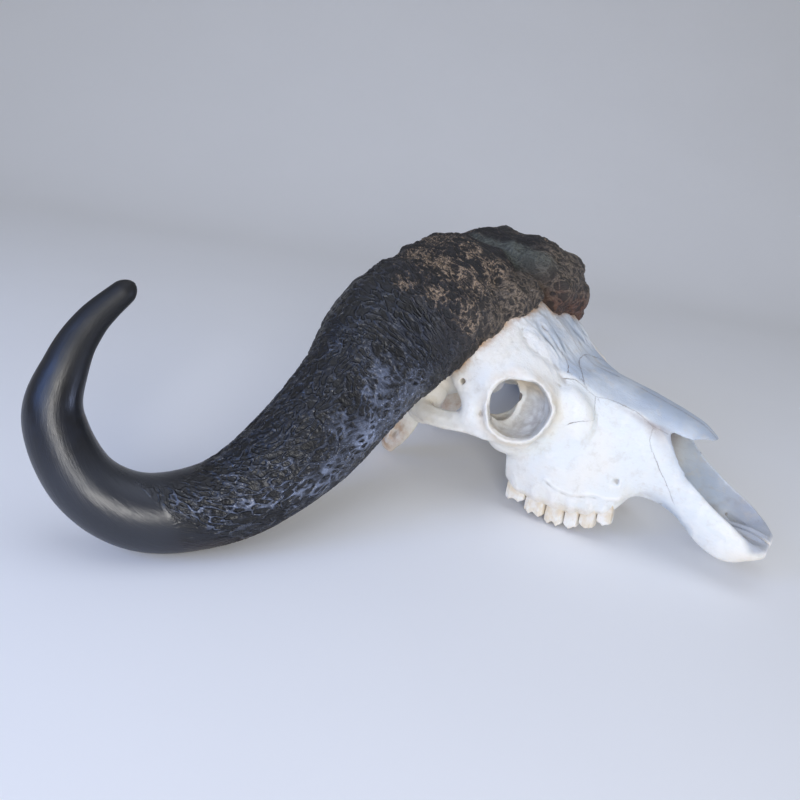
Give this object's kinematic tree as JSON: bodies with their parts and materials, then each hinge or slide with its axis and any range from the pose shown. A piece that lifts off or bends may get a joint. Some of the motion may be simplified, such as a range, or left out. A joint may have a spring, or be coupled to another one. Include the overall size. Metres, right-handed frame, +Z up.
{
  "type": "buffalo skull",
  "caption": "Bleached upper skull of a horned wild ox: heavy lumpy bosses meet over the forehead, horns droop, sweep out and curl up, open muzzle, no lower jaw.",
  "frame": {"origin": "on the floor, below the middle of the bounding box", "axes": "+X to the tip of the muzzle, +Y to the animal's left horn, +Z up; the skull lies as it rests, on both horns and the cheek teeth"},
  "size_m": [0.6288, 1.0758, 0.3256],
  "materials": {
    "bleached_bone": "matte bleached bone",
    "black_horn": "rough on the boss, satin towards the tip",
    "tooth_enamel": "satin cream enamel"
  },
  "bodies": {
    "root": {"skull": "bleached_bone", "horn_right": "black_horn", "horn_left": "black_horn", "tooth_right_1": "tooth_enamel", "tooth_right_2": "tooth_enamel", "tooth_right_3": "tooth_enamel", "tooth_right_4": "tooth_enamel", "tooth_right_5": "tooth_enamel", "tooth_right_6": "tooth_enamel", "tooth_left_1": "tooth_enamel", "tooth_left_2": "tooth_enamel", "tooth_left_3": "tooth_enamel", "tooth_left_4": "tooth_enamel", "tooth_left_5": "tooth_enamel", "tooth_left_6": "tooth_enamel"}
  },
  "joints": []
}
